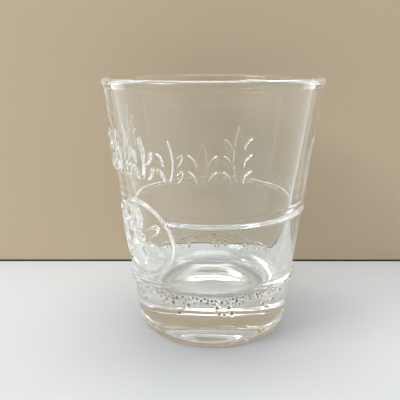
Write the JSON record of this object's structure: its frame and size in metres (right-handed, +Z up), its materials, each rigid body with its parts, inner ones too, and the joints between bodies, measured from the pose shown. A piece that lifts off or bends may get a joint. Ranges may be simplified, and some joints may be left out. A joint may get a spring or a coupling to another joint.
{
  "type": "shot glass",
  "caption": "Small tapered drinking glass in pressed clear glass, with a thick foot, a rounded rim, a raised leaf frieze and rosette, a waist line and a stippled band.",
  "frame": {"origin": "centre of the ring that the glass stands on, at the bottom of the foot", "axes": "+Z up along the axis of the glass, towards the mouth; -Y is the side it is usually seen from, with the emblem turned towards -X of it"},
  "size_m": [0.05, 0.05, 0.0584],
  "materials": {
    "clear_glass": "fire-polished pressed soda-lime glass, clear with a faint green tint in its thickness"
  },
  "bodies": {
    "root": {"base": "clear_glass", "wall": "clear_glass", "rim": "clear_glass", "girdle_line": "clear_glass", "emblem_ring": "clear_glass", "rosette_petals": "clear_glass", "rosette_boss": "clear_glass", "leaf_sprig_1": "clear_glass", "leaf_sprig_2": "clear_glass", "leaf_sprig_3": "clear_glass", "leaf_sprig_4": "clear_glass", "leaf_sprig_5": "clear_glass", "leaf_sprig_6": "clear_glass", "leaf_sprig_7": "clear_glass", "leaf_sprig_8": "clear_glass", "heel_stipple": "clear_glass"}
  },
  "joints": []
}
